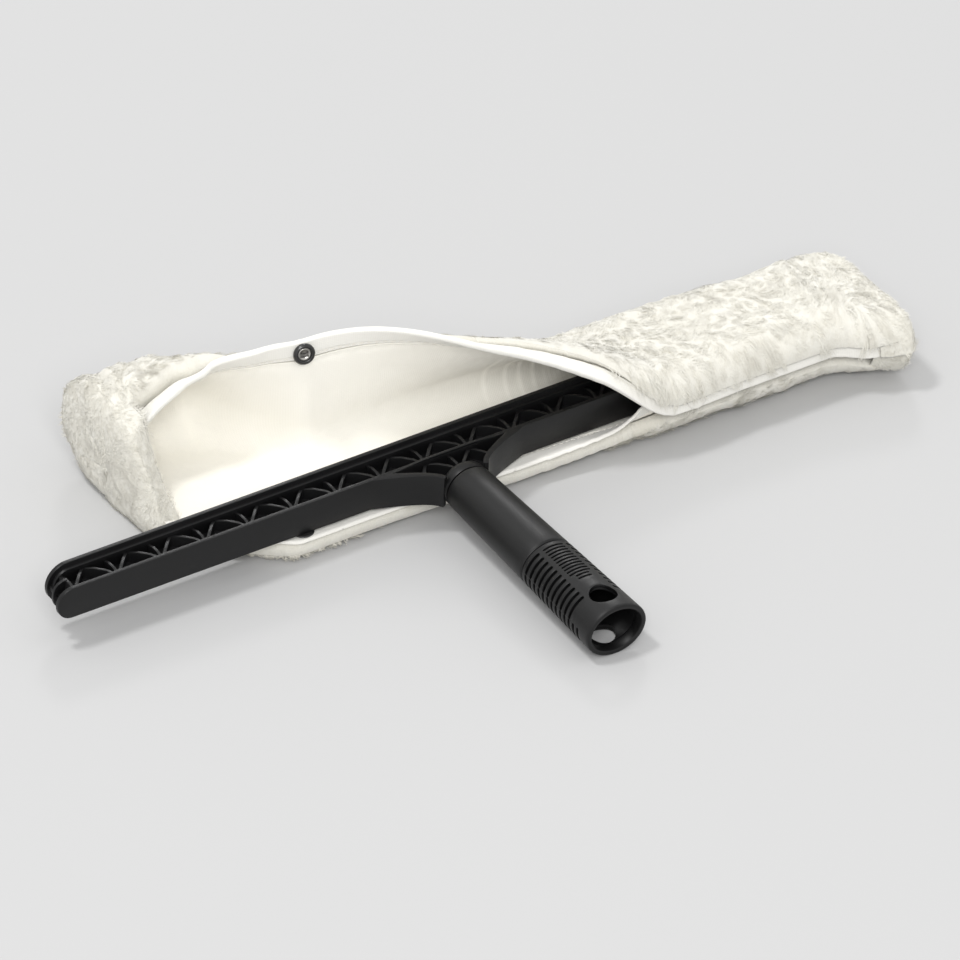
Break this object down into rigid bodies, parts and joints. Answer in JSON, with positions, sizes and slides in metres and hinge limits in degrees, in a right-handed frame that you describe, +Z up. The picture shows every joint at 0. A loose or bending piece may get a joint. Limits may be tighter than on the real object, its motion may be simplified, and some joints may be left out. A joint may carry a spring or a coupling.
{
  "type": "window washer with plush sleeve",
  "caption": "T-shaped window washer: a ribbed plastic bar with a hollow slotted handle, and a canvas-lined plush sleeve half drawn off the bar.",
  "frame": {"origin": "under the middle of the whole object's box, on the surface that it lies on", "axes": "+X along the bar towards the wrapped end of the sleeve, -Y along the handle towards its open end, +Z up"},
  "size_m": [0.3808, 0.2254, 0.0627],
  "materials": {
    "black_plastic": "satin moulded",
    "handle_plastic": "satin moulded",
    "plush": "short matted pile",
    "canvas": "fine plain weave",
    "hem_canvas": "folded and stitched canvas",
    "black_enamel": "gloss enamel",
    "snap_steel": "plated"
  },
  "bodies": {
    "tbar": {"tbar_frame": "black_plastic", "handle_tube": "handle_plastic", "grip_sleeve": "handle_plastic"},
    "sleeve": {"plush_cover": "plush", "right_end_closure": "plush", "left_end_closure": "plush", "canvas_lining": "canvas", "upper_hem": "hem_canvas", "lower_hem": "hem_canvas", "left_snap_socket": "black_enamel", "left_snap_spring": "snap_steel", "left_snap_cap": "hem_canvas", "left_snap_stud": "snap_steel", "left_snap_post": "black_enamel", "right_snap_socket": "black_enamel", "right_snap_spring": "snap_steel", "right_snap_cap": "hem_canvas", "right_snap_stud": "snap_steel", "right_snap_post": "black_enamel"}
  },
  "joints": [
    {"name": "sleeve_slide", "type": "slide", "parent": "tbar", "child": "sleeve", "axis": [1, 0, 0], "range_m": [0, 0.11]}
  ]
}
